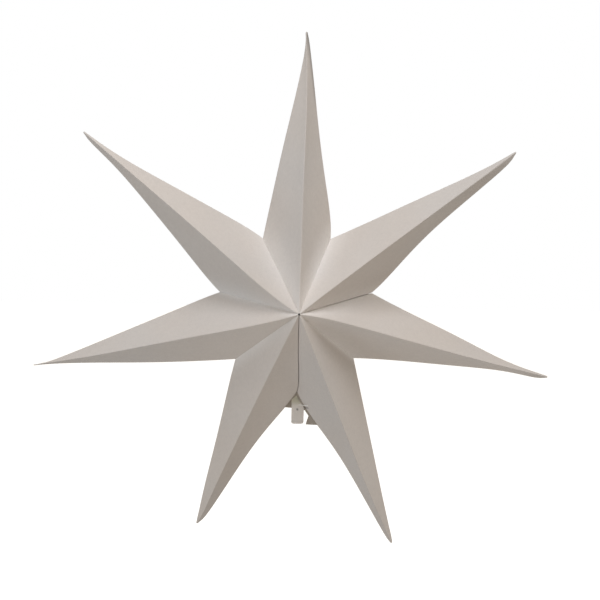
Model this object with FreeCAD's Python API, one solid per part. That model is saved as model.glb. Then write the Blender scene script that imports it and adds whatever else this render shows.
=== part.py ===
import FreeCAD, Part
import math
import os
from FreeCAD import Placement, Rotation, Vector

# A seven-pointed paper star that opens like a fan. Each arm is one sheet of card folded into a hollow
# four-sided spike. Neighbouring arms are glued to each other through flaps inside the valleys. The first
# and the last arm are not glued: they close the star along the open seam at its lower end.
#
# Frame: the centre of the star is the origin, X is to the right, Z is up and the front faces -Y.

# Driving dimensions, in millimetres.
arm_length = 306.0  # star centre to where the folds of an arm would meet in a point
valley_radius = 89.0  # star centre to the foot of the valley between two arms
half_depth = 54.0  # star centre to the front point, and to the back point
card = 0.35  # thickness of the folded card
tip_cut = 6.0  # how much of that sharp point the card lacks
tip_pinch = 4.0  # length at the tip over which the skins are pressed together, with no hollow

glue_line = 0.1  # between the glued walls of two arms
lifted_gap = 0.9  # the same at the valley where the glue has let go along the edge
closing_gap = 0.6  # between the first arm and the last, which no glue holds
closing_reach = 6.5  # how much further out the closing valley lies than the others

wall_flap = 12.0  # width of the glue flaps that run along the valleys, inside
wall_flap_setback = 4.0  # from the star's front and back points to where the flaps start
ridge_flap = 14.0  # width of the glue flap that closes the sheet behind the back ridge
ridge_flap_start = 22.0  # from the star's back point to where that flap begins
ridge_flap_end = 60.0  # from the tip of the arm to where it ends
flap_slant = 45.0  # degrees between a flap's fold and its cut ends
flap_parting = 0.2  # from the middle of a valley to the ends of the two flaps that meet there

strap_width = 14.2
strap_rise = 16.0  # how far the strap reaches up into the star from the closing valley
strap_drop = 37.5  # how far it hangs below the closing valley
strap_shift = 1.5  # middle of the closing valley to the middle of the strap, to the right
strap_behind = 0.5  # middle plane of the closing valley to the strap's front face
strap_corner = 2.5  # radius of the strap's corners
strap_room = 1.5  # beside each edge of the strap, where it passes the side folds

opening_seam = 30.0  # cord opening: how far its cut runs up each back edge of the closing seam
ear_lean = 24.0  # degrees that the two ears below the cord opening lean back
left_ear_drop = 17.5  # closing valley to the lower edge of the left ear
left_ear_edge = 3.0  # middle of the closing valley to the left ear's free edge, to the right
right_ear_drop = 38.0  # the same for the right ear
right_ear_edge = 11.0  # at the lower edge, from where it slants outwards
right_ear_slant = 12.0  # degrees

staple_wire = 0.5
staple_crown = 11.5  # between the middle lines of its legs
staple_grip = 2.4  # from the crown to the bent-over ends, between middle lines
staple_ends = 2.2  # length of the bent-over ends
staple_bend = 0.5  # radius of the wire's middle line at each bend
staple_drop = 15.0  # closing valley down to the staple
staple_left = 2.5  # middle of the closing valley to the staple's left leg
staple_stand = 0.1  # between the crown and the card under each of its ends
staple_hole_clearance = 0.05  # around each leg, where it goes through the card

# How the fan lies, opened by hand: each arm clockwise from the top with its turn in degrees from its even
# place, seen from the front, and how many degrees its tip leans forward.
ARMS = [
    ("arm_top", -0.7, 3.0),
    ("arm_upper_right", -1.6, 2.8),
    ("arm_right", -1.2, 2.4),
    ("arm_lower_right", -2.4, 0.2),
    ("arm_lower_left", 3.0, -9.5),
    ("arm_left", 0.2, -0.3),
    ("arm_upper_left", -0.3, 1.3),
]
# The valley after each of those arms: its turn in degrees, how far its foot lies forward and its gap.
VALLEYS = [
    (1.0, 0.5, glue_line),
    (0.0, -3.0, lifted_gap),
    (-1.2, -4.5, glue_line),
    (1.6, 0.0, closing_gap),
    (1.3, 9.0, glue_line),
    (1.3, -1.5, glue_line),
    (0.7, 0.0, glue_line),
]
CLOSING = 3  # the valley that is the closing seam, between arm 3 and arm 4

FORWARD = Vector(0, -1, 0)
FRONT_POINT = FORWARD * half_depth
BACK_POINT = FORWARD * -half_depth


def spot(radius, turn, lean=0.0, forward=0.0):
    """A place at an angle in the face of the star, counted anticlockwise from +X as seen from the front."""
    around, up = math.radians(turn), math.radians(lean)
    flat = radius * math.cos(up)
    out = Vector(flat * math.cos(around), 0, flat * math.sin(around))
    return out + FORWARD * (radius * math.sin(up) + forward)


def tip_place(index):
    name, turn, lean = ARMS[index]
    return spot(arm_length, 90 - 360 / len(ARMS) * index + turn, lean)


def valley_place(index):
    turn, forward, gap = VALLEYS[index]
    radius = valley_radius + (closing_reach if index == CLOSING else 0.0)
    return spot(radius, 90 - 360 / len(ARMS) * (index + 0.5) + turn, forward=forward)


class Side:
    """One flat side of a solid: a point on it, and the direction that leads out of the solid."""

    def __init__(self, point, outward):
        self.point = point
        self.outward = Vector(outward).normalize()

    def moved_in(self, distance):
        return Side(self.point - self.outward * distance, self.outward)

    def turned(self):
        return Side(self.point, -self.outward)


def side_through(a, b, c, inside):
    """The side through three corners that has the point called inside behind it."""
    outward = (b - a).cross(c - a)
    return Side(a, -outward if outward.dot(inside - a) > 0 else outward)


def solid_within(sides):
    """What is left of a large block when everything outside the given flat sides is cut away."""
    reach = 2 * arm_length
    solid = Part.makeBox(2 * reach, 2 * reach, 2 * reach, Vector(-reach, -reach, -reach))
    for side in sides:
        beyond = Part.makeBox(4 * reach, 4 * reach, 4 * reach, Vector(-2 * reach, -2 * reach, 0))
        beyond.Placement = Placement(side.point, Rotation(Vector(0, 0, 1), side.outward))
        solid = solid.cut(beyond)
    return solid


def flap(face, fold_start, fold_end, toward, width, start, end, limits):
    """A flap of card just inside a flat face, along a fold, with both of its ends cut at a slant.

    toward is a point in the face on the flap's side of the fold. start and end are the distances from the
    fold's two ends at which the flap begins and stops. limits are further sides that trim it.
    """
    along = (fold_end - fold_start).normalize()
    inward = toward - fold_start
    inward = (inward - along * inward.dot(along)).normalize()
    slant = math.radians(flap_slant)
    return solid_within(
        [
            face,
            face.moved_in(card).turned(),
            Side(fold_start + inward * width, inward),
            Side(fold_start + along * start, inward * math.cos(slant) - along * math.sin(slant)),
            Side(fold_end - along * end, inward * math.cos(slant) + along * math.sin(slant)),
        ]
        + limits
    )


def wall_flaps(wall, valley, skins, is_closing):
    """The two glue flaps of one wall, which fold in along its front and its back edge."""
    made = []
    for corner, other, skin, outward in (
        (FRONT_POINT, BACK_POINT, skins[0], FORWARD),
        (BACK_POINT, FRONT_POINT, skins[1], -FORWARD),
    ):
        parted = Side(valley + outward * flap_parting, -outward)
        at_valley = opening_seam if is_closing and corner is BACK_POINT else 0.0
        made.append(
            flap(wall, corner, valley, other, wall_flap, wall_flap_setback, at_valley, [parted, skin])
        )
    return made


class Corner:
    """What the first and the last arm have where the closing valley meets their side fold."""

    def __init__(self, tip):
        self.valley = valley_place(CLOSING)
        self.fold = (tip - self.valley).normalize()
        on_left = tip.x < self.valley.x
        self.inward = Vector(1, 0, 0) if on_left else Vector(-1, 0, 0)
        self.ear_drop = left_ear_drop if on_left else right_ear_drop
        self.ear_edge = left_ear_edge if on_left else right_ear_edge
        self.ear_slant = math.radians(0.0 if on_left else right_ear_slant)
        strap_reach = strap_width / 2 - self.inward.x * strap_shift
        self.cut_end = self.valley + self.fold * ((strap_reach + strap_room) / abs(self.fold.x))

    def cord_cut(self, back_skin):
        """The corner of the back skin that is cut away, so that the strap and a cord can pass."""
        on_seam = self.valley + (BACK_POINT - self.valley).normalize() * opening_seam
        cut = side_through(self.cut_end, on_seam, on_seam + back_skin.outward, self.valley)
        return solid_within([cut, Side(self.valley, FORWARD), back_skin.moved_in(-card)])

    def ear(self):
        """The small ear of card that stands on the side fold below the cut and leans back."""
        lean = math.radians(ear_lean)
        across = (self.inward - self.fold * self.inward.dot(self.fold)).normalize()
        free = across * math.cos(lean) - FORWARD * math.sin(lean)
        face = Side(self.valley, self.fold.cross(free) * self.inward.x)
        corner = self.valley + Vector(self.ear_edge, 0, -self.ear_drop)
        edge = self.inward * math.cos(self.ear_slant) + Vector(0, 0, math.sin(self.ear_slant))
        return solid_within(
            [
                face,
                face.moved_in(card).turned(),
                Side(self.valley - free * card, -free),
                Side(corner, edge),
                Side(self.cut_end, Vector(0, 0, 1)),
                Side(corner, Vector(0, 0, -1)),
            ]
        )


def folded_arm(index):
    """One arm: four skins, glue flaps along its walls, and the flap that closes the sheet."""
    tip = tip_place(index)
    before = (index - 1) % len(ARMS)
    middle = (FRONT_POINT + BACK_POINT + tip) * (1 / 3)
    outer_skins, walls = [], []
    for place in (before, index):
        valley = valley_place(place)
        gap = VALLEYS[place][2]
        front = side_through(FRONT_POINT, valley, tip, middle)
        back = side_through(BACK_POINT, valley, tip, middle)
        wall = side_through(FRONT_POINT, BACK_POINT, valley, middle).moved_in(gap / 2)
        outer_skins += [front, back]
        walls.append((wall, valley, (front, back), place == CLOSING))

    blunt = Side(tip, tip).moved_in(tip_cut)
    outside = outer_skins + [wall for wall, *rest in walls] + [blunt]
    hollow = [skin.moved_in(card) for skin in outer_skins] + [blunt.moved_in(tip_pinch)]
    sheet = solid_within(outside).cut(solid_within(hollow))
    for wall, valley, skins, is_closing in walls:
        for piece in wall_flaps(wall, valley, skins, is_closing):
            sheet = sheet.fuse(piece)

    lap, *others = [skin.moved_in(card) for skin in (outer_skins[3], *outer_skins[:3])]
    valley = walls[1][1]
    ridge = flap(lap, BACK_POINT, tip, valley, ridge_flap, ridge_flap_start, ridge_flap_end, others)
    sheet = sheet.fuse(ridge)
    for wall, valley, skins, is_closing in walls:
        if is_closing:
            corner = Corner(tip)
            sheet = sheet.cut(corner.cord_cut(skins[1])).fuse(corner.ear())
    return sheet.removeSplitter()


def rounded(corners, radius):
    """The edges of a path whose right-angled corners, all but its two ends, are rounded."""
    edges, at = [], corners[0]
    for before, corner, after in zip(corners, corners[1:], corners[2:]):
        enter = corner + (before - corner).normalize() * radius
        leave = corner + (after - corner).normalize() * radius
        half = corner + (enter + leave - corner * 2) * (1 - math.sqrt(0.5))
        edges.append(Part.LineSegment(at, enter).toShape())
        edges.append(Part.Arc(enter, half, leave).toShape())
        at = leave
    edges.append(Part.LineSegment(at, corners[-1]).toShape())
    return edges


def closing_strap():
    """The strip of card that hangs out of the closing valley, behind the two front skins."""
    middle = valley_place(CLOSING) + Vector(strap_shift, strap_behind, 0)
    side, top, foot = Vector(strap_width / 2, 0, 0), Vector(0, 0, strap_rise), Vector(0, 0, -strap_drop)
    corners = [middle + foot - side, middle + foot + side, middle + top + side, middle + top - side]
    outline = [middle + foot, *corners[1:], corners[0], middle + foot]
    return Part.Face(Part.Wire(rounded(outline, strap_corner))).extrude(-FORWARD * card)


def staple_frame():
    """Where the staple's left leg starts, the direction of its crown and the direction of its legs.

    The crown starts in front of the strap and is turned about Z until its right end lies on the front skin
    of the lower right arm.
    """
    valley = valley_place(CLOSING)
    lift = staple_wire / 2 + staple_stand
    start = valley + Vector(staple_left, strap_behind - lift, -staple_drop)
    tip = tip_place(CLOSING)
    skin = side_through(FRONT_POINT, valley, tip, (FRONT_POINT + BACK_POINT + tip) * (1 / 3))
    across, ahead = skin.outward.x, -skin.outward.y
    needed = lift - (start - skin.point).dot(skin.outward)
    turn = math.atan2(ahead, across) - math.acos(needed / (staple_crown * math.hypot(across, ahead)))
    crown = Vector(math.cos(turn), -math.sin(turn), 0)
    return start, crown, Vector(math.sin(turn), math.cos(turn), 0)


def closing_staple():
    """A wire staple through the strap and the edge of the lower right arm, its ends bent over inside."""
    start, crown, leg = staple_frame()
    end = start + crown * staple_crown
    path = [
        start + leg * staple_grip + crown * staple_ends,
        start + leg * staple_grip,
        start,
        end,
        end + leg * staple_grip,
        end + leg * staple_grip - crown * staple_ends,
    ]
    ring = Part.Wire([Part.makeCircle(staple_wire / 2, path[0], crown)])
    return Part.Wire(rounded(path, staple_bend)).makePipeShell([ring], True, False)


def staple_holes():
    """The two holes that the staple's legs make."""
    start, crown, leg = staple_frame()
    radius = staple_wire / 2 + staple_hole_clearance
    begin = leg * -staple_wire
    holes = [
        Part.makeCylinder(radius, staple_grip + 2 * staple_wire, foot + begin, leg)
        for foot in (start, start + crown * staple_crown)
    ]
    return holes[0].fuse(holes[1])


pieces = {name: folded_arm(number) for number, (name, turn, lean) in enumerate(ARMS)}
right_of_seam = ARMS[CLOSING][0]
pieces[right_of_seam] = pieces[right_of_seam].cut(staple_holes())
pieces["closing_strap"] = closing_strap().cut(staple_holes())
pieces["closing_staple"] = closing_staple()

os.makedirs("parts", exist_ok=True)
for name, piece in pieces.items():
    print(name, len(piece.Solids), "solid", round(piece.Volume, 2), "mm3", piece.isValid())
    piece.exportStep(f"parts/{name}.step")
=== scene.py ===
# %% [markdown]
# # A seven-pointed star folded from card
#
# This star is seven sheets of card. Each sheet is folded into a hollow spike, and the spikes open like a
# fan round the line from the front of the star to its back. The solids of the frame give the right sizes
# and places, with sharp corners and flat sides. The cells below make the looks: rounded creases, panels
# that give a little, and real card.

import math
from types import SimpleNamespace

import bmesh
import bpy
import numpy as np
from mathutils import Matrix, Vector


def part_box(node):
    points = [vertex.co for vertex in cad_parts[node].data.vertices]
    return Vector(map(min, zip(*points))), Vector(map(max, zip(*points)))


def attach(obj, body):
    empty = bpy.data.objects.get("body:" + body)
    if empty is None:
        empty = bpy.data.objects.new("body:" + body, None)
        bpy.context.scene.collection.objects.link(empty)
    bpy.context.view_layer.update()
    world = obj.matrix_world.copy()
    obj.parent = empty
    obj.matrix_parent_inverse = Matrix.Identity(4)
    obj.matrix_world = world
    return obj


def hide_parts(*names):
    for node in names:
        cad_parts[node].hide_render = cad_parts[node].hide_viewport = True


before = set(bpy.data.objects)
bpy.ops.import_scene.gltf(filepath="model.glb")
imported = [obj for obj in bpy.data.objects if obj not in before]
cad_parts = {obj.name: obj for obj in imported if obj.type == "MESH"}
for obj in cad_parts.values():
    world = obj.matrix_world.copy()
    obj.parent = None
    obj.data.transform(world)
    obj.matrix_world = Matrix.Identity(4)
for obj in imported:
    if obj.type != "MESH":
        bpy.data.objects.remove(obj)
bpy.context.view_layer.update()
print("pieces of the frame:", ", ".join(sorted(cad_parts)))

# %% [markdown]
# ## Sizes
#
# The star stands upright with its front towards -Y. These are the sizes that its maker cut and folded
# to, in metres. A tip lies where its arm was pushed to when the fan was opened by hand, so every arm has
# a small turn and a small lean of its own, and so has every valley between two arms.

# %% Sizes of the star
MM = 0.001
ARM_LENGTH = 300 * MM
VALLEY_RADIUS = 89 * MM
CLOSING_REACH = 6.5 * MM  # the closing valley lies this much further out
FRONT = Vector((0, -54 * MM, 0))
BACK = -FRONT
CARD = 0.35 * MM

# Each arm clockwise from the top: its turn and the lean of its tip towards the front, in degrees.
ARMS = {
    "arm_top": (-0.7, 3.0),
    "arm_upper_right": (-1.6, 2.8),
    "arm_right": (-1.2, 2.4),
    "arm_lower_right": (-2.4, 0.2),
    "arm_lower_left": (3.0, -9.5),
    "arm_left": (0.2, -0.3),
    "arm_upper_left": (-0.3, 1.3),
}
# The gap between the walls of two neighbours, at the star's centre line and at the valley.
GLUED, OPENED, UNGLUED = (0.02 * MM, 0.04 * MM), (0.12 * MM, 0.9 * MM), (0.6 * MM, 0.6 * MM)
# The valley after each arm: its turn in degrees, how far forward it lies, and its gap.
VALLEYS = [
    (1.0, 0.5 * MM, GLUED),
    (0.0, -3.0 * MM, OPENED),
    (-1.2, -4.5 * MM, GLUED),
    (1.6, 0.0, UNGLUED),
    (1.3, 9.0 * MM, GLUED),
    (1.3, -1.5 * MM, GLUED),
    (0.7, 0.0, GLUED),
]
CLOSING = 3


def spot(radius, turn, lean=0.0, forward=0.0):
    around, up = math.radians(turn), math.radians(lean)
    flat = radius * math.cos(up)
    return Vector((flat * math.cos(around), -radius * math.sin(up) - forward, flat * math.sin(around)))


def tip_of(index):
    turn, lean = list(ARMS.values())[index]
    return spot(ARM_LENGTH, 90 - 360 / len(ARMS) * index + turn, lean)


def valley_of(index):
    turn, forward = VALLEYS[index][:2]
    radius = VALLEY_RADIUS + (CLOSING_REACH if index == CLOSING else 0.0)
    return spot(radius, 90 - 360 / len(ARMS) * (index + 0.5) + turn, forward=forward)


for number, name in enumerate(ARMS):
    low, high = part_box(name)
    tip = tip_of(number)
    miss = max(max(low[i] - tip[i], tip[i] - high[i]) for i in range(3))
    print(f"{name}: tip at {[round(v / MM, 1) for v in tip]} mm, {-miss / MM:.2f} mm inside its box")

# %% [markdown]
# ## Writing node trees as formulas
#
# A node tree drawn by hand is hard to follow once it holds more than a dozen maths nodes. Here a socket
# is wrapped in a small class whose operators add the maths nodes, so that a rule can be written as the
# formula that it is. Every other node comes from one method, `add`.


# %% A socket that can stand in a formula
def formula(operation, swapped=False):
    """A method that adds one maths node, with its two values swapped for a reflected operator."""

    def method(self, *others):
        values = (self, *others)
        return self.math(operation, *(values[::-1] if swapped else values))

    return method


class Wire:
    """A socket of a node tree. Arithmetic on it adds the maths nodes to its tree."""

    def __init__(self, graph, socket):
        self.graph, self.socket = graph, socket

    def math(self, operation, *values):
        vector = any(
            isinstance(v, (Vector, tuple)) or (isinstance(v, Wire) and v.socket.type == "VECTOR")
            for v in values
        )
        kind = "ShaderNodeVectorMath" if vector else "ShaderNodeMath"
        out = 1 if operation in ("DOT_PRODUCT", "LENGTH") else 0
        return self.graph.add(kind, {"operation": operation}, dict(enumerate(values)), out)

    def __neg__(self):
        return self.math("MULTIPLY", self, -1.0)

    __add__, __radd__ = formula("ADD"), formula("ADD", swapped=True)
    __sub__, __rsub__ = formula("SUBTRACT"), formula("SUBTRACT", swapped=True)
    __mul__, __rmul__ = formula("MULTIPLY"), formula("MULTIPLY", swapped=True)
    __truediv__, __rtruediv__ = formula("DIVIDE"), formula("DIVIDE", swapped=True)
    __lt__, __gt__ = formula("LESS_THAN"), formula("GREATER_THAN")
    least, most = formula("MINIMUM"), formula("MAXIMUM")
    __pow__, root, sine, floor = (formula(kind) for kind in ("POWER", "SQRT", "SINE", "FLOOR"))
    dot, cross = formula("DOT_PRODUCT"), formula("CROSS_PRODUCT")
    length, unit = formula("LENGTH"), formula("NORMALIZE")


class Graph:
    """A node tree that is written as formulas."""

    def __init__(self, tree):
        self.tree = tree
        self.asked = None

    def add(self, kind, settings=None, inputs=None, out=0):
        """Adds a node: first its settings, then the values or links of its sockets."""
        node = self.tree.nodes.new(kind)
        for name, value in (settings or {}).items():
            if name == "items":
                while len(node.index_switch_items) < value:
                    node.index_switch_items.new()
            else:
                setattr(node, name, value)
        for name, value in (inputs or {}).items():
            socket = node.inputs[name]
            if isinstance(value, Wire):
                self.tree.links.new(value.socket, socket)
            elif socket.type == "VECTOR" and isinstance(value, (int, float)):
                socket.default_value = (value, value, value)
            else:
                socket.default_value = value
        return Wire(self, node.outputs[out])

    def ask(self, name, kind="Float"):
        """A named input of the tree."""
        self.tree.interface.new_socket(name, in_out="INPUT", socket_type="NodeSocket" + kind)
        if self.asked is None:
            self.asked = self.tree.nodes.new("NodeGroupInput")
        return Wire(self, self.asked.outputs[name])

    def end(self, kind, result, name="Surface"):
        """The output node of the tree, which takes the result."""
        self.tree.links.new(result.socket, self.tree.nodes.new(kind).inputs[name])


def blank_material(name):
    """A material without nodes, and the graph to write it in."""
    material = bpy.data.materials.new(name)
    material.use_nodes = True
    material.node_tree.nodes.clear()
    return material, Graph(material.node_tree)


# %% [markdown]
# ## One arm, as a rule
#
# On the real star an arm is one flat sheet: four long triangles side by side, a glue flap on each
# triangle's short edge and one more along the last long edge. It could be modelled triangle by triangle
# and bent at bevelled edges, but the folds run together at the tip, where a bevel breaks. Here Geometry
# Nodes lay a grid over the whole sheet instead. A row goes round the arm, a column runs from the valley
# to the tip, and a formula says where each point of the grid lies. Each fold is an arc between its two
# panels, and it gets smaller only where the panels get too narrow for it.

# %% Rows and columns of the sheet
ARC = 3
PANEL = 20
SKIN_ROWS = 54
FLAP_ROWS = ARC + 3
RIDGE_FLAP_COLUMNS = ARC + 3
COLUMNS = 4 * PANEL + 1 + RIDGE_FLAP_COLUMNS
ROWS = FLAP_ROWS + 1 + SKIN_ROWS
END_ROWS = 3
FOLDS = ("back ridge", "side fold before", "front ridge", "side fold after")
# Where a fold can stray from its straight line: a swell of up ** first * (1 - up) ** last at each place.
SWAYS = {"at the root": (1, 6), "low": (2, 3), "high": (6, 2), "at the tip": (14, 1)}
print("a sheet is", ROWS, "rows of", COLUMNS, "points")


# %% Formulas for a fold
def steps(count, last, arc, reach):
    """Distance from a fold to the count-th row or column, with even steps over the arc."""
    on_arc = arc * count.least(ARC) / ARC
    beyond = ((count - ARC).most(0.0) / (last - ARC)) ** 1.4
    return on_arc + (reach - arc).most(0.0) * beyond


def rounding(one, other, distance, arc):
    """How far a fold's arc lies inside its sharp corner. one and other lead away from the fold."""
    cosine = ((one.dot(other) + 1.0) * 0.5).root()
    sine_squared = 1.0 - cosine * cosine
    across = ((arc * arc) / (cosine * cosine) - distance * distance) * sine_squared
    depth = arc / cosine - across.most(0.0).root() - distance * cosine
    return (one + other) * (depth * (distance < arc) / (cosine * 2.0))


def swell(up, first, last):
    """A smooth swell along the arm, 0 at both of its ends and 1 at its highest."""
    top = first / (first + last)
    return up**first * (1.0 - up) ** last / (top**first * (1 - top) ** last)


def square_to(vector, along):
    """The part of a vector that is square to a direction, as a unit vector."""
    return (vector - along * vector.dot(along)).unit()


def choose(graph, index, values):
    """The value with that index."""
    node = {"data_type": "VECTOR", "items": len(values)}
    return graph.add("GeometryNodeIndexSwitch", node, dict(enumerate([index, *values])))


# %% The named inputs of an arm
SIDES = ("before", "after")


def ask_sizes(g):
    """The named inputs of the tree: corners, the sway of the folds, and the sizes of the sheet."""
    arm = SimpleNamespace()
    arm.feet = {fold: g.ask(fold.capitalize() + " foot", "Vector") for fold in FOLDS}
    arm.sway = {
        (fold, place): g.ask(f"{fold.capitalize()} sway {place}", "Vector")
        for fold in FOLDS
        for place in SWAYS
    }
    arm.tip = g.ask("Tip", "Vector")
    arm.tip_width = g.ask("Tip width")
    arm.card = g.ask("Card thickness")
    arm.fold_arc = g.ask("Fold arc")
    arm.valley_arc = g.ask("Valley arc")
    arm.flap_width = g.ask("Wall flap width")
    arm.flap_setback = g.ask("Wall flap setback")
    arm.flap_slope = g.ask("Wall flap slope at the valley")
    arm.ridge_flap = g.ask("Ridge flap width")
    arm.ridge_start = g.ask("Ridge flap start")
    arm.ridge_end = g.ask("Ridge flap end")
    arm.bow = g.ask("Bow")
    arm.edge_shade = g.ask("Edge shade")
    arm.seed = g.ask("Seed", "Int")
    arm.bend = [g.ask("Seam bend " + side, "Vector") for side in SIDES]
    arm.parting, arm.paler, arm.paler_reach, arm.duller = (
        [g.ask(f"{name} {side}") for side in SIDES]
        for name in ("Flap parting", "Paler", "Paler reach", "Duller")
    )
    return arm


# %% Where a point of the grid belongs
def lay_grid(g, arm):
    """Which panel or flap a point of the grid lies on, and how far up the arm it lies.

    up goes from 0 at the valley to 1 at the tip. The last rows round off the blunt end, where the four
    panels are pressed flat on each other, and closing goes from 0 to 1 over them.
    """
    index = g.add("GeometryNodeInputIndex")
    row = (index / COLUMNS).floor()
    column = index - row * COLUMNS
    arm.panel = (column / PANEL).floor().least(3.0)
    arm.on_panel = (column - arm.panel * PANEL).least(float(PANEL))
    arm.is_back = (arm.panel < 0.5) + (arm.panel > 2.5)
    arm.is_after = arm.panel > 1.5
    arm.flap_column = (column - 4.0 * PANEL).most(0.0)
    arm.on_lap = arm.flap_column > 0.5
    skin_row = row - FLAP_ROWS
    arm.flap_row = (-skin_row).most(0.0)
    arm.on_flap = arm.flap_row > 0.5
    skin_row = skin_row.most(0.0)

    slant = (arm.tip - (arm.feet["front ridge"] + arm.feet["side fold after"]) * 0.5).length()
    open_rows = SKIN_ROWS - END_ROWS
    arm.from_base = steps(skin_row.least(open_rows), open_rows, arm.valley_arc, slant)
    arm.up = arm.from_base / slant
    arm.closing = (skin_row - open_rows).most(0.0) / END_ROWS


def per_side(arm, pair):
    """The first of a pair on the side before the ridge, the second on the side after it."""
    return pair[0] + arm.is_after * (pair[1] - pair[0])


# %% The four panels
RIDGE_SHARE, SIDE_SHARE = 0.2, 0.5  # how far the folds lie from the axis at the tip, in tip widths
NARROW = 0.15  # a fold's arc takes up no more than this share of a panel


def fold_panels(g, arm):
    """Lays each point on its panel: between two folds, with an arc at both and a slight give between."""
    arm.axis = arm.tip.unit()
    line = {}
    for fold in FOLDS:
        share = RIDGE_SHARE if "ridge" in fold else SIDE_SHARE
        end = arm.tip - arm.axis * (arm.tip_width * 0.5)
        end = end + square_to(arm.feet[fold], arm.axis) * (arm.tip_width * share)
        line[fold] = arm.feet[fold] + (end - arm.feet[fold]) * arm.up
        for place, (first, last) in SWAYS.items():
            line[fold] = line[fold] + arm.sway[fold, place] * swell(arm.up, first, last)
    arm.lines = back, before, front, after = [line[fold] for fold in FOLDS]
    arm.lapped = back + (after - back).unit() * arm.card

    start = choose(g, arm.panel, [back, before, front, after])
    end = choose(g, arm.panel, [before, front, after, arm.lapped])
    previous = choose(g, arm.panel, [after, back, before, front])
    following = choose(g, arm.panel, [front, after, back, before])
    arm.width = (end - start).length()
    along = (end - start).unit()
    arm.arc = arm.fold_arc.least(arm.width * NARROW)
    nearer = arm.on_panel.least(PANEL - arm.on_panel)
    arm.from_fold = steps(nearer, PANEL / 2, arm.arc, arm.width * 0.5)
    second_half = arm.on_panel > PANEL / 2
    arm.place = arm.from_fold + second_half * (arm.width - arm.from_fold * 2.0)
    arm.to_end = arm.width - arm.place
    not_first = arm.panel > 0.5
    arm.inward = rounding(along, (previous - start).unit(), arm.place, arm.arc) * not_first
    arm.inward = arm.inward + rounding(-along, (following - end).unit(), arm.to_end, arm.arc)
    arm.along = along
    arm.flat = start + along * arm.place


# %% The glue flaps
FRONT_PARTING = 0.2 * MM  # between two wall flaps behind the front ridge
SHORT_LAP = 0.6  # the ridge flap is no wider than this share of a panel


def fold_flaps(g, arm):
    """The flaps along the valleys, folded into the star, and the one behind the back ridge."""
    foot_start = choose(g, arm.panel, [arm.feet[fold] for fold in FOLDS])
    foot_end = choose(g, arm.panel, [arm.feet[fold] for fold in FOLDS[1:] + FOLDS[:1]])
    foot_line = (foot_end - foot_start).unit()
    arm.foot_width = (foot_end - foot_start).length()
    arm.climb = square_to(arm.tip - foot_start, foot_line)
    through = arm.feet["back ridge"] - arm.feet["front ridge"]
    arm.into = square_to(through * (1.0 - arm.is_back * 2.0), foot_line)
    odd = (arm.panel / 2.0 - (arm.panel / 2.0).floor()) * 2.0
    arm.from_centre = arm.place + odd * (arm.foot_width - arm.place * 2.0)
    parting = per_side(arm, arm.parting) * arm.is_back + FRONT_PARTING * (1.0 - arm.is_back)
    arm.reach = (arm.from_centre - arm.flap_setback).least(
        (arm.foot_width - arm.from_centre - parting) * arm.flap_slope
    )
    arm.reach = arm.reach.least(arm.flap_width)
    arm.down = steps(arm.flap_row, FLAP_ROWS, arm.valley_arc, arm.reach)
    arm.at_valley = rounding(arm.climb, arm.into, arm.from_base + arm.down, arm.valley_arc)

    back, before, _, after = arm.lines
    flap_way = (before - back).unit()
    length = (arm.tip - arm.feet["back ridge"]).length()
    climbed = arm.up * length
    arm.lap = arm.ridge_flap.least(climbed - arm.ridge_start).least(length - climbed - arm.ridge_end)
    arm.lap = arm.lap.least(arm.width * SHORT_LAP)
    place = steps(arm.flap_column, RIDGE_FLAP_COLUMNS, arm.arc, arm.lap)
    fold = rounding(flap_way, (after - arm.lapped).unit(), place, arm.arc)
    arm.lap_point = arm.lapped + flap_way * place + fold


# %% Where each point lies
BOW_RANGE = (0.5, 1.3)  # how much a panel bows, as a share of the arm's own bow
BOW_START = 9.0  # the bow has its full height at one ninth of the way up
SEAM_SWELL = (5, 1)  # the bend at the closing seam is highest near the valley's outer end


def place_points(g, arm):
    """The place of every point. Each panel bows by an amount of its own, and the tip is closed."""
    facing = arm.along.cross(arm.climb)
    amount = g.add(
        "FunctionNodeRandomValue",
        {"data_type": "FLOAT"},
        {"Min": BOW_RANGE[0], "Max": BOW_RANGE[1], "ID": arm.panel, "Seed": arm.seed},
        1,
    )
    hollow = (arm.place / arm.width * math.pi).sine() * (arm.up * BOW_START).least(1.0)
    give = facing * (hollow * arm.width * arm.bow * amount)
    skin = arm.flat + (arm.inward + give) * (1.0 - arm.on_flap) + arm.at_valley + arm.into * arm.down
    point = skin + (arm.lap_point - skin) * arm.on_lap
    outward = (arm.from_centre / arm.foot_width).least(1.0).most(0.0)
    point = point + per_side(arm, arm.bend) * (swell(outward, *SEAM_SWELL) * (1.0 - arm.up) ** 5)
    back, before, front, after = arm.lines
    middle = (back + before + front + after) * 0.25
    closing = arm.closing * arm.closing
    return point + (middle - point) * closing + arm.axis * (arm.tip_width * 0.5 * arm.closing)


# %% Painted light and painted shade on the card
EDGE_REACH = 7.0 * MM  # how far a line of painted shade reaches from a fold
EDGE_START, EDGE_RISE = 0.64, 10.0  # where up the arm that line starts, and how suddenly
CENTRE_SHARE, CENTRE_RISE = 0.6, 0.8  # the painted light band's strength at the centre, and its rise outwards


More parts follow.
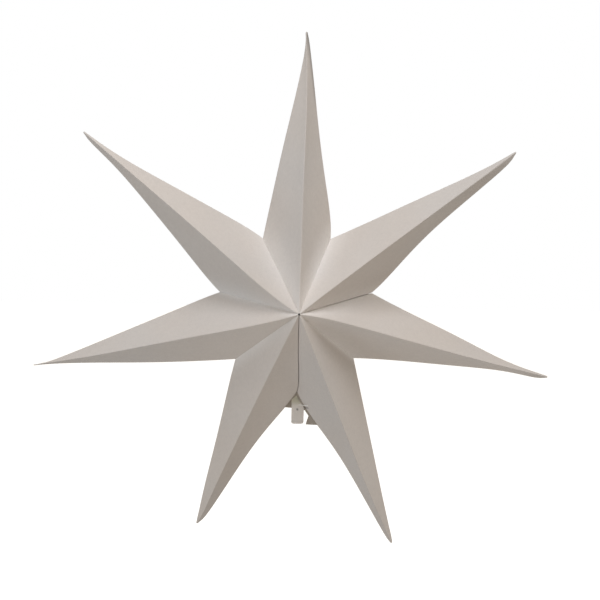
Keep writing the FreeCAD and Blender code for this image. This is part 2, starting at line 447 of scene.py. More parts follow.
def shade_card(arm):
    """How much paler painted light makes the card beside the valley, and how much darker painted shade
    makes it towards the tip and in a line beside the fold after the ridge.

    A painted light band is strongest at the valley, ends at its reach, and is weaker towards the centre
    and on the back.
    """
    arm.from_valley = arm.from_base + arm.down
    # Painted light: the card is painted paler in a band beside the valley.
    fading = (1.0 - arm.from_valley / per_side(arm, arm.paler_reach)).most(0.0)
    outward = arm.from_centre / arm.foot_width * CENTRE_RISE + CENTRE_SHARE
    outward = outward.least(1.0).most(CENTRE_SHARE)
    fading = fading * fading * outward * (1.0 - arm.is_back * 0.5)
    arm.paleness = per_side(arm, arm.paler) * fading
    # Painted shade: darker towards the tip, and in a line beside the fold after the ridge.
    from_after = arm.to_end + arm.is_back * (arm.place - arm.to_end)
    beside_edge = (1.0 - from_after / EDGE_REACH).most(0.0) * arm.is_after
    edge = arm.edge_shade * beside_edge * ((arm.up - EDGE_START) * EDGE_RISE).most(0.0).least(1.0)
    arm.dullness = per_side(arm, arm.duller) * arm.up + edge


# %% The tree of an arm
THINNEST = 0.3 * MM  # a flap narrower than this is cut away
TOUCHING = 0.002 * MM  # points this close are one point
INSIDE_FOLD = 10 * MM  # a flap counts as this far from a fold, so it gets no worn crease


def arm_tree(material):
    tree = bpy.data.node_groups.new("folded arm", "GeometryNodeTree")
    tree.interface.new_socket("Geometry", in_out="OUTPUT", socket_type="NodeSocketGeometry")
    g = Graph(tree)
    arm = ask_sizes(g)
    lay_grid(g, arm)
    fold_panels(g, arm)
    fold_flaps(g, arm)
    shade_card(arm)
    on_flap, on_lap = arm.on_flap, arm.on_lap
    cut = on_flap * (arm.reach < THINNEST) + on_flap * on_lap + on_lap * (arm.lap < THINNEST)
    shell = g.add("GeometryNodeMeshGrid", {}, {"Vertices X": ROWS, "Vertices Y": COLUMNS})
    for name, value in (
        ("cut_away", cut),
        ("from_fold", arm.from_fold + on_flap * INSIDE_FOLD),
        ("from_valley", arm.from_valley),
        ("up_arm", arm.up),
        ("paler", arm.paleness),
        ("duller", arm.dullness),
    ):
        shell = g.add(
            "GeometryNodeStoreNamedAttribute",
            {"data_type": "FLOAT", "domain": "POINT"},
            {"Geometry": shell, "Name": name, "Value": value},
        )
    placed = {"Geometry": shell, "Position": place_points(g, arm)}
    shell = g.add("GeometryNodeSetPosition", {}, placed)
    removed = g.add("GeometryNodeInputNamedAttribute", {"data_type": "FLOAT"}, {"Name": "cut_away"})
    shell = g.add(
        "GeometryNodeDeleteGeometry",
        {"domain": "POINT"},
        {"Geometry": shell, "Selection": removed > 0.5},
    )
    shell = g.add("GeometryNodeMergeByDistance", {}, {"Geometry": shell, "Distance": TOUCHING})
    shell = g.add("GeometryNodeFlipFaces", {}, {"Mesh": shell})
    shell = g.add("GeometryNodeRealizeInstances", {}, {"Geometry": shell})
    shell = g.add("GeometryNodeSetMaterial", {}, {"Geometry": shell, "Material": material})
    g.end("NodeGroupOutput", shell, 0)
    return tree


# %% [markdown]
# ## Card
#
# The card is matt and off-white. Close to, it has short pressed fibres and a fine speckle. From further
# away it's a little mottled and cloudy, and some places are a trace warmer than others. A crease is
# paler, because folding breaks the surface. Beside a valley the card gets painted light, a paler band
# that differs from arm to arm, and towards the tips some panels get painted shade, as does a line
# beside one fold of the top arm. The ears, the top of the strap, a line and a spot on the strap and the
# place under the staple get painted shade too. One material with procedural noise does all of it at
# the card's real scale, and it works on every piece of the star, whatever its shape: the bands, creases
# and painted shade come from distances and values that the pieces keep at every point, and the shade
# under the staple from its place.


# %% Fibres, grain and specks
# The waves of each noise to a metre, and its detail.
NOISES = {
    "fibres": (700.0, 4.0),
    "grain": (1500.0, 3.0),
    "mottle": (260.0, 2.0),
    "clouds": (14.0, 3.0),
    "warmth": (9.0, 2.0),
    "rubbing": (160.0, 2.0),
}
FIBRE_STRETCH = (1.0, 1.0, 0.35)
SPECKS, SPECK_SIZE = 620.0, 0.16  # specks to a metre, and their size as a share of the room for one
DEPTHS = {"fibres": 0.10, "grain": 0.10, "mottle": 0.08, "clouds": 0.09, "warmth": 0.07, "specks": 0.42}


def read(g, attribute):
    """A value that the arm's rule has kept at every point."""
    return g.add("ShaderNodeAttribute", {"attribute_name": attribute}, out="Fac")


def noise(g, where, name, stretch=(1, 1, 1), rough=0.5):
    scale, detail = NOISES[name]
    placed = g.add("ShaderNodeMapping", {}, {"Vector": where, "Scale": stretch})
    values = {"Vector": placed, "Scale": scale, "Detail": detail, "Roughness": rough}
    return g.add("ShaderNodeTexNoise", {}, values)


def grain_of_card(g, where):
    """The card's noises by name, and how light it is with all of them."""
    noises = {"fibres": noise(g, where, "fibres", FIBRE_STRETCH)}
    for name in ("grain", "mottle", "clouds"):
        noises[name] = noise(g, where, name)
    speck = g.add("ShaderNodeTexVoronoi", {}, {"Vector": where, "Scale": SPECKS}, "Distance")
    lightness = 1.0 - (SPECK_SIZE - speck).most(0.0) * DEPTHS["specks"]
    for name, value in noises.items():
        lightness = lightness + (value - 0.5) * DEPTHS[name]
    return noises, lightness


print("noises of the card, in waves to a metre:", {name: scale for name, (scale, _) in NOISES.items()})

# %% Worn creases
# For each kind of crease, how far its wear reaches and how much paler the card is there.
CREASES = {"from_fold": (1.2 * MM, 0.07), "from_valley": (0.8 * MM, 0.06)}
MOST_HANDLED = 130 * MM  # the creases are rubbed most at the centre, and no more from here on
STAPLE_SHADOW_AT = (13.2 * MM, -3.0 * MM, -113.6 * MM)  # where the painted shadow of the staple lies on the lower right arm
STAPLE_SHADOW_SHAPE = (0.32, 0.1, 0.72)


def crease_wear(g, where, grain):
    """How much lighter the card is along its creases, in rubbed patches."""
    rubbing = noise(g, where, "rubbing", rough=0.7)
    worn = ((rubbing - 0.42) * 6.0).most(0.0).least(1.0)
    near = (1.0 - (where * (1, 0, 1)).length() / MOST_HANDLED).most(0.0).least(1.0)
    wear = 0.0
    for attribute, (reach, paler) in CREASES.items():
        mask = (1.0 - read(g, attribute) / reach).most(0.0).least(1.0)
        wear = mask * (paler * (0.4 + near * 1.2 * worn) + (grain - 0.5) * 0.2) + wear
    return wear


def staple_shadow(where):
    """Painted shadow: the soft dark patch under the staple, from 0 to 0.42."""
    away = ((where - STAPLE_SHADOW_AT) * STAPLE_SHADOW_SHAPE).length() / MM
    return ((1.25 - away) * 0.9).most(0.0).least(0.42)


# %% The card's material
PAINTED_LIGHT_TINT = (0.22, 0.26, 0.30)  # the painted light of a pale band is a little cooler than the card
FIBRE_RELIEF = 0.06 * MM


def paper(name, colour, shade_tint, folded):
    material, g = blank_material(name)
    where = g.add("ShaderNodeTexCoord", out="Object")
    noises, lightness = grain_of_card(g, where)
    if folded:
        lightness = lightness + crease_wear(g, where, noises["grain"])
    # Painted shade darkens the card towards some tips, and painted light makes it paler and a little
    # cooler beside the valleys.
    lightness = lightness - read(g, "duller")
    pale = read(g, "paler")
    warmth = (noise(g, where, "warmth") - 0.5) * DEPTHS["warmth"]
    red, green, blue = (lightness * (1.0 + pale * share) for share in PAINTED_LIGHT_TINT)
    tint = {"X": red * (1.0 + warmth), "Y": green, "Z": blue * (1.0 - warmth)}
    tint = g.add("ShaderNodeCombineXYZ", {}, tint)
    # Painted shade: the ears and the top of the strap are made darker and yellower.
    shaded_colour = g.add(
        "ShaderNodeMix",
        {"data_type": "RGBA"},
        {
            "Factor": read(g, "glue") * (0.75 + noises["clouds"] * 0.5).least(1.0),
            6: (*colour, 1.0),
            7: (*[part * share for part, share in zip(colour, shade_tint)], 1.0),
        },
        2,
    )
    # Painted shadow of the staple on the arms; on the strap, painted shade along a line and at the
    # staple's hole.
    mark = staple_shadow(where) if folded else read(g, "mark")
    relief = noises["fibres"] * 0.6 + noises["grain"] * 0.4
    bump = g.add(
        "ShaderNodeBump", {}, {"Height": relief, "Strength": 0.25, "Distance": FIBRE_RELIEF}
    )
    shader = g.add(
        "ShaderNodeBsdfPrincipled",
        {},
        {
            "Base Color": tint * shaded_colour * (1.0 - mark),
            "Roughness": 0.85,
            "Specular IOR Level": 0.25,
            "Normal": bump,
        },
    )
    g.end("ShaderNodeOutputMaterial", shader)
    print(f"{name}: a material of {len(g.tree.nodes)} nodes")
    return material


OFF_WHITE, OFFCUT = (0.615, 0.565, 0.525), (0.67, 0.62, 0.575)
# The last colours are the share of each channel that is left where the painted shade is strongest.
card_material = paper("matt_card", OFF_WHITE, shade_tint=(0.56, 0.53, 0.48), folded=True)
strap_material = paper("matt_card_offcut", OFFCUT, shade_tint=(0.80, 0.82, 0.70), folded=False)

# %% [markdown]
# ## Folding the seven arms
#
# The tree is put on an empty mesh as a modifier, once for each arm, and its inputs are set to that arm's
# corners. The result is turned into a plain mesh. The walls of two neighbouring arms leave a gap, so the
# foot of a fold starts where it clears half of that gap.


# %% Corners of an arm
def clear_of(point, walls, tip=None):
    """The point moved off one wall towards the tip, or off both walls, by half of each gap."""
    if tip:
        (inward, gap), along = walls[0], (tip - point).normalized()
        return point + along * (gap / 2 / along.dot(inward))
    (first, gap), (second, other) = walls
    shared = first.dot(second)
    share = np.linalg.solve([[1, shared], [shared, 1]], [gap / 2, other / 2])
    return point + first * share[0] + second * share[1]


def corners_of(index):
    before = (index - 1) % len(ARMS)
    tip = tip_of(index)
    at_line, at_valley = [], []
    for place in (before, index):
        normal = (BACK - FRONT).cross(valley_of(place) - FRONT).normalized()
        inward = normal if normal.dot(tip - FRONT) > 0 else -normal
        at_line.append((inward, VALLEYS[place][2][0]))
        at_valley.append((inward, VALLEYS[place][2][1]))
    return {
        "back ridge": clear_of(BACK, at_line),
        "side fold before": clear_of(valley_of(before), at_valley[:1], tip),
        "front ridge": clear_of(FRONT, at_line),
        "side fold after": clear_of(valley_of(index), at_valley[1:], tip),
    }


def build_with(tree, name, values):
    """The plain mesh that a tree makes with these values for its named inputs."""
    holder = bpy.data.objects.new(name, bpy.data.meshes.new(name))
    bpy.context.collection.objects.link(holder)
    modifier = holder.modifiers.new("rule", "NODES")
    modifier.node_group = tree
    for item in tree.interface.items_tree:
        if item.in_out == "INPUT" and item.name in values:
            value = values[item.name]
            modifier[item.identifier] = tuple(value) if isinstance(value, Vector) else value
    shape = holder.evaluated_get(bpy.context.evaluated_depsgraph_get())
    mesh = bpy.data.meshes.new_from_object(shape)
    bpy.data.objects.remove(holder)
    mesh.name = name
    return mesh


# %% The sway of the folds
# How far a fold strays from its straight line at the places of SWAYS, in millimetres clockwise: the side
# fold before, both ridges, and the side fold after.
SWAY = {
    "arm_top": ((0, 0.5, 2.5, 2), (0, 0.5, 2, 0), (2.5, 0, 1, 1)),
    "arm_upper_right": ((0.5, 1, 2, 0.5), (-0.5, -0.5, 0, 0), (1, -3.5, 1.5, 3)),
    "arm_right": ((1, 1.5, 4, 0.5), (-2.5, -0.5, 0.5, 0), (-1, -2, -2.5, 2)),
    "arm_lower_right": ((0, 0, 0, -0.5), (0, 1, 2, 0), (3, -3, 0, 1)),
    "arm_lower_left": ((-0.5, 2.5, -1.5, -2.5), (0, 0.5, 0, -1), (0.5, 0, 1, 0.5)),
    "arm_left": ((-0.5, -1, 1, 0.5), (-2, -1.5, -2, 0), (0.5, -1, -2, -2)),
    "arm_upper_left": ((-1, 1.5, 2, -1.5), (-3, -1, -0.5, 0), (1.5, -0.5, -2.5, -0.5)),
}


def sways_of(name, number):
    """The named inputs that make one arm's folds stray."""
    tip = tip_of(number)
    clockwise = Vector((tip.z, 0, -tip.x)).normalized()
    values = {}
    for fold, entry in zip(FOLDS, (1, 0, 1, 2)):
        for place, distance in zip(SWAYS, SWAY[name][entry]):
            values[f"{fold.capitalize()} sway {place}"] = clockwise * (distance * MM)
    return values


farthest = max(abs(distance) for folds in SWAY.values() for fold in folds for distance in fold)
print("the folds stray by up to", farthest, "mm at one place")

# %% Painted light bands, painted shade at the tips, and tip widths
# How much paler the painted light makes the card beside the valley before and after an arm, each with
# its reach in millimetres, how much darker the painted shade makes it at the tip on those two sides, and
# the pressed end's width in millimetres.
PAINTED_LIGHT_SHADE_AND_TIPS = {
    "arm_top": (((1.3, 62), (1.7, 46)), (0.05, 0.2), 2.5),
    "arm_upper_right": (((1.0, 50), (1.15, 36)), (0.1, 0.1), 2.5),
    "arm_right": (((1.9, 40), (0.7, 36)), (0.0, 0.08), 2.6),
    "arm_lower_right": (((1.6, 13), (0.1, 36)), (0.0, 0.07), 3.4),
    "arm_lower_left": (((0.2, 16), (1.2, 42)), (0.22, 0.0), 3.0),
    "arm_left": (((0.0, 36), (1.9, 17)), (0.19, 0.0), 1.2),
    "arm_upper_left": (((1.3, 50), (0.7, 66)), (0.08, 0.05), 2.0),
}
EDGE_SHADE = {"arm_top": 0.42}  # a line of painted shade on the outer part of the side fold after the ridge
print("arms with a line of dirt:", ", ".join(EDGE_SHADE))

# %% Fold them
SEAM_BEND = Vector((1.8 * MM, 0, 0))
OPENING_SEAM = 30 * MM  # how far the cord's opening reaches along the closing seam
SHEET = {
    "Card thickness": CARD,
    "Fold arc": 1.7 * MM,
    "Valley arc": 0.06 * MM,
    "Wall flap width": 12 * MM,
    "Wall flap setback": 3 * MM,
    "Wall flap slope at the valley": FRONT.length / VALLEY_RADIUS,
    "Flap parting before": 0.2 * MM,
    "Flap parting after": 0.2 * MM,
    "Ridge flap width": 14 * MM,
    "Ridge flap start": 22 * MM,
    "Ridge flap end": 60 * MM,
    "Bow": -0.012,
}
SEAM_SIDES = {CLOSING: "after", CLOSING + 1: "before"}


def values_of(name, number):
    """One arm's values for the named inputs of the tree."""
    values = {**SHEET, **sways_of(name, number)}
    pale, dull, tip_width = PAINTED_LIGHT_SHADE_AND_TIPS[name]
    values["Tip"], values["Tip width"] = tip_of(number), tip_width * MM
    values["Edge shade"], values["Seed"] = EDGE_SHADE.get(name, 0.0), number
    for side, (paler, reach), duller in zip(SIDES, pale, dull):
        values["Paler " + side] = paler
        values["Paler reach " + side] = reach * MM
        values["Duller " + side] = duller
    for fold, corner in corners_of(number).items():
        values[fold.capitalize() + " foot"] = corner
    if number in SEAM_SIDES:
        values["Flap parting " + SEAM_SIDES[number]] = OPENING_SEAM
        values["Seam bend " + SEAM_SIDES[number]] = SEAM_BEND
    return values


arms = {}
tree = arm_tree(card_material)
print("the tree of an arm has", len(tree.nodes), "nodes")
for number, name in enumerate(ARMS):
    mesh = build_with(tree, name + "_folded", values_of(name, number))
    arms[name] = bpy.data.objects.new(name + "_folded", mesh)
    print(name, "has", len(mesh.vertices), "points and", len(mesh.polygons), "faces")

# %% [markdown]
# ## Thickness
#
# The sheet is a surface so far. Solidify gives it the card's thickness towards the inside, measured
# square to the surface, and closes its cut edges. The tip is pinched thinner, because the four panels
# run together there.


# %% Give the card its thickness
PINCH_RATE, PINCHED = 30.0, 0.12  # how soon the card gets thinner at a tip, and its least share
SHARP = math.radians(35)


def keep_result(piece):
    """Turns a piece with its modifiers into a plain mesh."""
    shape = piece.evaluated_get(bpy.context.evaluated_depsgraph_get())
    mesh = bpy.data.meshes.new_from_object(shape)
    piece.modifiers.clear()
    piece.vertex_groups.clear()
    piece.data = mesh
    mesh.name = piece.name


def as_card(name, points, faces, kept, material, offset):
    """A piece of card from a grid of points, with the values that are kept at every point."""
    mesh = bpy.data.meshes.new(name)
    mesh.from_pydata(points, [], faces)
    for key, values in kept.items():
        mesh.attributes.new(key, "FLOAT", "POINT").data.foreach_set("value", values)
    mesh.materials.append(material)
    piece = bpy.data.objects.new(name, mesh)
    bpy.context.collection.objects.link(piece)
    solidify = piece.modifiers.new("card", "SOLIDIFY")
    solidify.thickness, solidify.offset = CARD, offset
    keep_result(piece)
    return piece


def thicken(piece):
    up = np.zeros(len(piece.data.vertices), np.float32)
    piece.data.attributes["up_arm"].data.foreach_get("value", up)
    group = piece.vertex_groups.new(name="thickness")
    for index, share in enumerate(np.clip((1.0 - up) * PINCH_RATE, PINCHED, 1.0)):
        group.add([index], float(share), "REPLACE")
    solidify = piece.modifiers.new("card", "SOLIDIFY")
    solidify.thickness, solidify.offset = CARD, -1.0
    solidify.use_quality_normals = True
    solidify.vertex_group = group.name
    keep_result(piece)
    piece.data.shade_smooth()
    piece.data.set_sharp_from_angle(angle=SHARP)


for name, piece in arms.items():
    bpy.context.collection.objects.link(piece)
    thicken(piece)
    print(f"{name}: {len(piece.data.polygons)} faces with its thickness")

# %% [markdown]
# ## The foot of the closing seam
#
# The first and the last arm aren't glued to each other. Behind their side folds a corner of each back
# panel is cut away, where the lamp's cord passes, and below that cut a small ear of card stands on
# each fold. A Boolean takes the corners out of the finished sheets. The ears are cut from flat card,
# follow the real fold and are joined to their arm, because they're the same sheet.

# %% Sizes at the closing seam
# The strap runs up into the star by its rise and hangs down by its drop. It lies to the right of the
# closing valley by its shift, and behind it, with some room at both sides.
STRAP_WIDTH, STRAP_RISE, STRAP_DROP = 14.2 * MM, 16 * MM, 37.5 * MM
STRAP_SHIFT, STRAP_BEHIND, STRAP_ROOM = 1.5 * MM, 0.5 * MM, 1.5 * MM
STRAP_CORNER = 2.5 * MM
# In millimetres: how far the cutter reaches past the fold, how far behind the sheet its middle lies, and
# half of its thickness.
CUT_BEYOND, CUT_BEHIND, CUT_HALF = 6, 3.5, 3.6
EAR_LAP, EAR_FORWARD = 1.6 * MM, 0.1 * MM
EAR_ROWS, EAR_COLUMNS = 44, 10
EAR_START = 0.1  # an ear's width at its very top, as a share of its full width
# An ear's edge is its free edge, as places beside and below the closing valley. It grows to its full
# width over its taper, is never narrower than its least width, and leans back by lean degrees at its
# upper and lower end. Its lower edge falls with its width, and the last entry says how much painted
# shade darkens it, across the ear and down it. A lap of card runs in behind the fold's arc, so no light
# passes between an ear and its fold.
EARS = {
    "arm_lower_left": {
        "edge": ((3.0, 0.0), (3.0, 19.3)),
        "taper": 0.25, "least": 0.2 * MM, "lean": (40.0, 34.0), "fall": 0.25,
        "glue": lambda out, below: 1.0 - 0.55 * out,
    },
    "arm_lower_right": {
        "edge": ((2.0, 0.0), (2.0, 19.0), (7.0, 20.5), (12.8, 23.0), (14.3, 28.0), (11.6, 38.4)),
        "taper": 0.08, "least": 1.7 * MM, "lean": (62.0, 30.0), "fall": 0.12,
        "glue": lambda out, below: 1.0 + 0.1 * out * below,
    },
}
CLOSING_VALLEY = valley_of(CLOSING)


# %% Places on a side fold
def on_fold(name, up):
    """The place on an end arm's closing side fold, with the fold's own sway."""
    number = list(ARMS).index(name)
    fold = "side fold after" if number == CLOSING else "side fold before"
    tip, foot = tip_of(number), corners_of(number)[fold]
    place = foot + (tip - foot) * up
    for key, sway in sways_of(name, number).items():
        for k, (first, last) in SWAYS.items():
            if key == f"{fold.capitalize()} sway {k}":
                place = place + sway * swell(up, first, last)
    return place


def swell_in(share, over):
    """Grows evenly from 0 to 1 over the first part of the way."""
    return min(share / over, 1.0) if over else 1.0


def fold_at(name, measure):
    """How far up the fold the measure of a place, such as its depth, gets to 0."""
    low, high = 0.0, 0.5
    for _ in range(40):
        middle = (low + high) / 2
        low, high = (middle, high) if measure(on_fold(name, middle)) > 0 else (low, middle)
    return low


cut_ends = {}
for name, side in (("arm_lower_left", -1), ("arm_lower_right", 1)):
    reach = STRAP_WIDTH / 2 + side * STRAP_SHIFT + STRAP_ROOM
    cut_ends[name] = fold_at(name, lambda place: reach - side * (place.x - CLOSING_VALLEY.x))
    print(f"{name}: the cut ends {cut_ends[name]:.3f} of the way up its side fold")


# %% Cut the corners for the cord
def prism(name, corners, shift):
    """A closed prism on the given corners, from one side of them to the other."""
    count = len(corners)
    points = [corner - shift for corner in corners] + [corner + shift for corner in corners]
    faces = [tuple(range(count)), tuple(range(2 * count - 1, count - 1, -1))]
    faces += [(k, k + count, (k + 1) % count + count, (k + 1) % count) for k in range(count)]
    mesh = bpy.data.meshes.new(name)
    mesh.from_pydata(points, [], faces)
    solid = bpy.data.objects.new(name, mesh)
    bpy.context.collection.objects.link(solid)
    shape = bmesh.new()
    shape.from_mesh(mesh)
    bmesh.ops.recalc_face_normals(shape, faces=shape.faces)
    shape.to_mesh(mesh)
    shape.free()
    return solid


for name, up in cut_ends.items():
    tip, valley = tip_of(list(ARMS).index(name)), CLOSING_VALLEY
    fold_end = on_fold(name, up)
    seam_end = valley + (BACK - valley).normalized() * OPENING_SEAM
    beyond = (valley - (fold_end + seam_end) / 2).normalized() * CUT_BEYOND * MM
    behind = (seam_end - valley).cross(fold_end - valley).normalized()
    behind = behind if behind.y > 0 else -behind
    corners = [fold_end, seam_end, seam_end + beyond, fold_end + beyond]
    corners = [corner + behind * CUT_BEHIND * MM for corner in corners]
    cutter = prism("cord cut", corners, behind * CUT_HALF * MM)
    cut = arms[name].modifiers.new("cord cut", "BOOLEAN")
    cut.operation, cut.object, cut.solver = "DIFFERENCE", cutter, "MANIFOLD"
    before = len(arms[name].data.polygons)
    keep_result(arms[name])
    bpy.data.objects.remove(cutter)
    print(f"{name}: {before} faces before the cut, {len(arms[name].data.polygons)} after")


# %% Ears below the cut
def ear(name):
    """A flat ear on a side fold. Its rows start with the lap inside the fold and lean back from it."""
    shape, side = EARS[name], 1 if name == "arm_lower_left" else -1
    beside, depths = np.transpose(shape["edge"]) * MM
    end = fold_at(name, lambda place: place.z - CLOSING_VALLEY.z + depths[-1])
    across, grid, shade_amounts = EAR_COLUMNS + 2, [], []
    for row in range(EAR_ROWS + 1):
        share = row / EAR_ROWS
        root = on_fold(name, end * share)
        depth = CLOSING_VALLEY.z - root.z
        below = depth / depths[-1]
        free = CLOSING_VALLEY.x + float(np.interp(depth, depths, beside))
        width = max((free - root.x) * side, shape["least"])
        width = width * max(swell_in(share, shape["taper"]), EAR_START)
        top, low = shape["lean"]
        lean = math.tan(math.radians(top + (low - top) * below))
        grid.append(root + Vector((-side * EAR_LAP, -EAR_FORWARD, 0)))
        shade_amounts.append(shape["glue"](0.0, below))
        for column in range(EAR_COLUMNS + 1):
            out = width * column / EAR_COLUMNS
            fall = out * shape["fall"] * share**3
            grid.append(root + Vector((side * out, out * lean - EAR_FORWARD, -fall)))
            shade_amounts.append(shape["glue"](column / EAR_COLUMNS, below))
    faces = [
        (k, k + 1, k + across + 1, k + across)
        for row in range(EAR_ROWS)
        for k in range(row * across, (row + 1) * across - 1)
    ]
    faces = faces if side < 0 else [face[::-1] for face in faces]
    far = [INSIDE_FOLD] * len(grid)
    # The ear carries its painted shade to the card's material.
    kept = {"from_fold": far, "from_valley": far, "up_arm": [0.1] * len(grid), "glue": shade_amounts}
    return as_card(name + " ear", grid, faces, kept, card_material, 0.0)


for name in EARS:
    plate = ear(name)
    with bpy.context.temp_override(
        active_object=arms[name], selected_editable_objects=[arms[name], plate], object=arms[name]
    ):
        bpy.ops.object.join()
    arms[name].data.set_sharp_from_angle(angle=SHARP)
    print(f"{name} with its ear has {len(arms[name].data.polygons)} faces")

# %% Put the arms in their places
for name, piece in arms.items():
    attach(piece, "root")
    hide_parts(name)
    low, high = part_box(name)
    corners = np.array([v.co for v in piece.data.vertices])
    past_high, past_low = corners.max(0) - np.array(high), np.array(low) - corners.min(0)
    over = float(max(past_high.max(), past_low.max()))
    print(f"{piece.name}: {len(piece.data.polygons)} faces, {over / MM:.2f} mm over its solid's box")

# %% [markdown]
# ## Strap and staple
#
# A strip of card hangs out of the star's foot, stapled to the edge of the lower right arm. It has been
# handled, so it isn't quite flat: it curls a little across and its end leans back. It's a grid of rows
# whose width follows the strip's outline, with the rounded corners in the outline. The staple's shape is
# already right in the frame, so it only gets its steel.


# %% The strap
def smooth(share):
    share = min(max(share, 0.0), 1.0)
    return share * share * (3 - 2 * share)


def half_width(down):
    """Half of the strap's width at a distance below its top end."""
    from_end = min(down, STRAP_RISE + STRAP_DROP - down)
    inset = STRAP_CORNER - math.sqrt(max(STRAP_CORNER**2 - max(STRAP_CORNER - from_end, 0.0) ** 2, 0.0))
    return STRAP_WIDTH / 2 - inset


STRAP_ROWS, STRAP_COLUMNS = 80, 24
CLOSER = 0.13  # how much closer together the rows lie at both ends, for the rounded corners
INSIDE, HANGING = (7 * MM, 8 * MM), 17 * MM  # where it comes out of the star, and where it hangs free
LEAN_IN, LEAN_BACK, CURL = 2.5 * MM, 0.6 * MM, 0.5 * MM
STRAP_SHADE_FADE = (10 * MM, 8 * MM)  # where the painted shade on the strap's top starts to fade, and over how much
DARK_LINE_AT, DARK_LINE_WIDE, DARK_LINE_SHADE = 34.3 * MM, 0.9 * MM, 0.14  # painted shade: a darker line across the strap, with its place, width and darkness
# Painted shade at a staple leg's hole: a dark spot beside the middle, below the valley, and its size
# and darkness.
MARK, MARK_SIZE, MARK_DARK = (-0.4 * MM, 20.5 * MM), 1.4 * MM, 0.75


def strap():
    total, width, grid, shade_amounts, marked = STRAP_RISE + STRAP_DROP, STRAP_COLUMNS + 1, [], [], []
    for row in range(STRAP_ROWS + 1):
        share = row / STRAP_ROWS
        down = total * (share - math.sin(2 * math.pi * share) * CLOSER)
        below = down - STRAP_RISE
        inside = 1.0 - smooth((below - INSIDE[0]) / INSIDE[1])
        hanging = max(below - HANGING, 0.0) / (STRAP_DROP - HANGING)
        for column in range(width):
            across = 2 * column / STRAP_COLUMNS - 1
            side = half_width(down) * across
            curl = CURL * hanging * (1 - across * across)
            back = STRAP_BEHIND + LEAN_IN * inside + LEAN_BACK * hanging**2 - curl
            grid.append(CLOSING_VALLEY + Vector((STRAP_SHIFT + side, back, -below)))
            # Painted shade on the top of the strap, where it lies inside the star.
            shade_amounts.append(1.0 - smooth((below - STRAP_SHADE_FADE[0]) / STRAP_SHADE_FADE[1]))
            # Painted shade: a darker line across the strap, and a dark spot at the staple's hole.
            pressed = max(1.0 - abs(below - DARK_LINE_AT) / DARK_LINE_WIDE, 0.0) * DARK_LINE_SHADE
            from_hole = math.hypot(side - MARK[0], below - MARK[1]) / MARK_SIZE
            marked.append(max(pressed, MARK_DARK * (1.0 - smooth(from_hole - 0.3))))
    faces = [
        (k, k + width, k + width + 1, k + 1)
        for row in range(STRAP_ROWS)
        for k in range(row * width, (row + 1) * width - 1)
    ]
    kept = {"glue": shade_amounts, "mark": marked}
    piece = as_card("closing_strap_curled", grid, faces, kept, strap_material, -1.0)
    piece.data.shade_smooth()
    piece.data.set_sharp_from_angle(angle=SHARP)
    return piece


hanging_strap = strap()
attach(hanging_strap, "root")
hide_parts("closing_strap")
print("the strap has", len(hanging_strap.data.polygons), "faces")


# %% The staple's steel
STEEL = (0.78, 0.77, 0.75, 1.0)
DRAWN = (0.2, 1.0, 1.0)  # the marks are five times as long along X
DRAWING_MARKS = 9000.0  # to a metre


def steel(name):
    material, g = blank_material(name)
    where = g.add("ShaderNodeTexCoord", out="Object")
    drawn = g.add("ShaderNodeMapping", {}, {"Vector": where, "Scale": DRAWN})
    values = {"Vector": drawn, "Scale": DRAWING_MARKS, "Detail": 2.0}
    marks = g.add("ShaderNodeTexNoise", {}, values)
    shader = g.add(
        "ShaderNodeBsdfPrincipled",
        {},
        {"Base Color": STEEL, "Metallic": 1.0, "Roughness": 0.22 + marks * 0.16},
    )
    g.end("ShaderNodeOutputMaterial", shader)
    return material


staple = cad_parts["closing_staple"]
staple.data.materials.clear()
staple.data.materials.append(steel("drawn_steel_wire"))
print("the staple has", len(staple.data.polygons), "faces")

# %% [markdown]
# ## Light, floor and camera
#
# A soft light from above and in front, a weak bluish one from the left and a fill from all sides show
# the folds without hard shadows. The fill gets brighter towards one side behind the star, as in a room
# with a window, so the panels that face that way are paler. It changes so slowly that it needs no
# aimed sampling, and without that the thin tips stay free of bright dots. The floor is pale and lies
# under the star. The camera looks at the star almost from straight ahead, from a little above.


# %% World and floor
def seen_directly(g):
    """1 for what the camera sees, also in a mirror or through glass."""
    rays = g.add("ShaderNodeLightPath")
    node = rays.socket.node
    direct, gloss, glass = (
        Wire(g, node.outputs[k]) for k in ("Is Camera Ray", "Is Glossy Ray", "Is Transmission Ray")
    )
    return direct.most(gloss).most(glass)


world = bpy.data.worlds.new("studio")
bpy.context.scene.world = world
world.use_nodes = True
world.node_tree.nodes.clear()
g = Graph(world.node_tree)
FILL, FILL_COLOUR, WHITE = 0.398, (1.0, 0.925, 0.82, 1.0), (1.0, 1.0, 1.0, 1.0)
# The studio gets brighter towards the side of the window, behind the star, by this share at most.
WINDOW, WINDOW_GAIN = Vector((0.6, 0.75, 0.25)).normalized(), 1.85
towards = g.add("ShaderNodeTexCoord", out="Generated").dot(tuple(WINDOW)).most(0.0)
glow = FILL * (1.0 + WINDOW_GAIN * towards * towards * towards)
world.cycles.sampling_method = "NONE"
fill = g.add("ShaderNodeBackground", {}, {"Color": FILL_COLOUR, "Strength": glow})
white = g.add("ShaderNodeBackground", {}, {"Color": WHITE, "Strength": 1.0})
both = g.add("ShaderNodeMixShader", {}, {0: seen_directly(g), 1: fill, 2: white})
g.end("ShaderNodeOutputWorld", both)

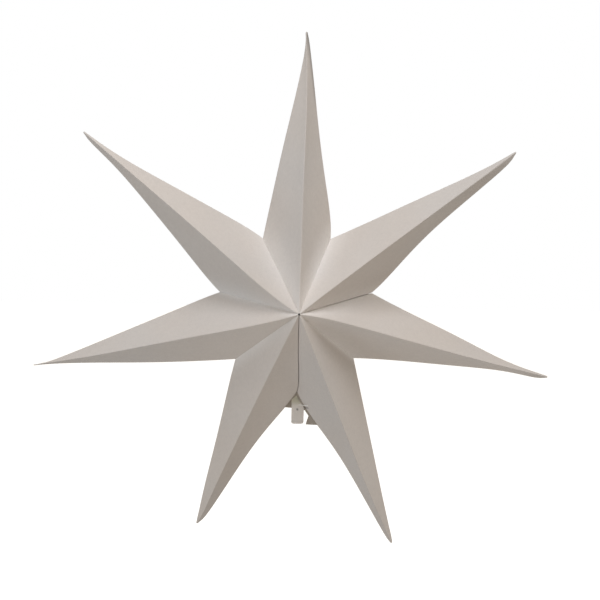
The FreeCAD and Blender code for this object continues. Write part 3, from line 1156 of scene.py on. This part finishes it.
SIDE, FLOOR = 6.0, -0.60
FLOOR_LIFT = 0.68  # how much the floor glows where it's seen, so that it stays nearly white
floor_mesh = bpy.data.meshes.new("floor")
floor_mesh.from_pydata(
    [(-SIDE, -SIDE, FLOOR), (SIDE, -SIDE, FLOOR), (SIDE, SIDE, FLOOR), (-SIDE, SIDE, FLOOR)],
    [],
    [(0, 1, 2, 3)],
)
floor = bpy.data.objects.new("floor", floor_mesh)
bpy.context.collection.objects.link(floor)
floor_material, g = blank_material("pale_floor")
matt = g.add("ShaderNodeBsdfDiffuse", {}, {"Color": (0.9, 0.9, 0.9, 1.0)})
lift = g.add("ShaderNodeEmission", {}, {"Color": WHITE, "Strength": seen_directly(g) * FLOOR_LIFT})
both = g.add("ShaderNodeAddShader", {}, {0: matt, 1: lift})
g.end("ShaderNodeOutputMaterial", both)
floor_mesh.materials.append(floor_material)
print(f"fill {FILL}, floor at {FLOOR} m")


# %% Lamps
def soft_lamp(name, place, aim, size, power, colour):
    light = bpy.data.lights.new(name, "AREA")
    light.shape, light.size, light.energy, light.color = "DISK", size, power, colour
    lamp = bpy.data.objects.new(name, light)
    bpy.context.collection.objects.link(lamp)
    lamp.location = place
    lamp.rotation_euler = (Vector(aim) - Vector(place)).to_track_quat("-Z", "Y").to_euler()
    print(f"lamp {name}: {power} W, {size} m across")


soft_lamp("overhead", (0.02, -0.55, 1.05), (0, 0, 0), 0.6, 8.4, (0.92, 0.95, 1.0))
soft_lamp("from the left", (-1.1, -0.4, -0.2), (0, 0, 0), 0.6, 2.0, (0.58, 0.78, 1.0))

# %% Camera
camera = bpy.data.objects.new("camera", bpy.data.cameras.new("camera"))
bpy.context.collection.objects.link(camera)
camera.location = (-0.0420, -0.7310, 0.0757)
camera.rotation_euler = [math.radians(v) for v in (84.899, -1.295, -3.484)]
camera.data.sensor_width = 36.0
camera.data.lens = 39.0
bpy.context.scene.camera = camera
print(f"the camera is {camera.location.length:.2f} m from the star's centre, {camera.data.lens} mm lens")
bpy.context.scene.view_settings.view_transform = "Standard"
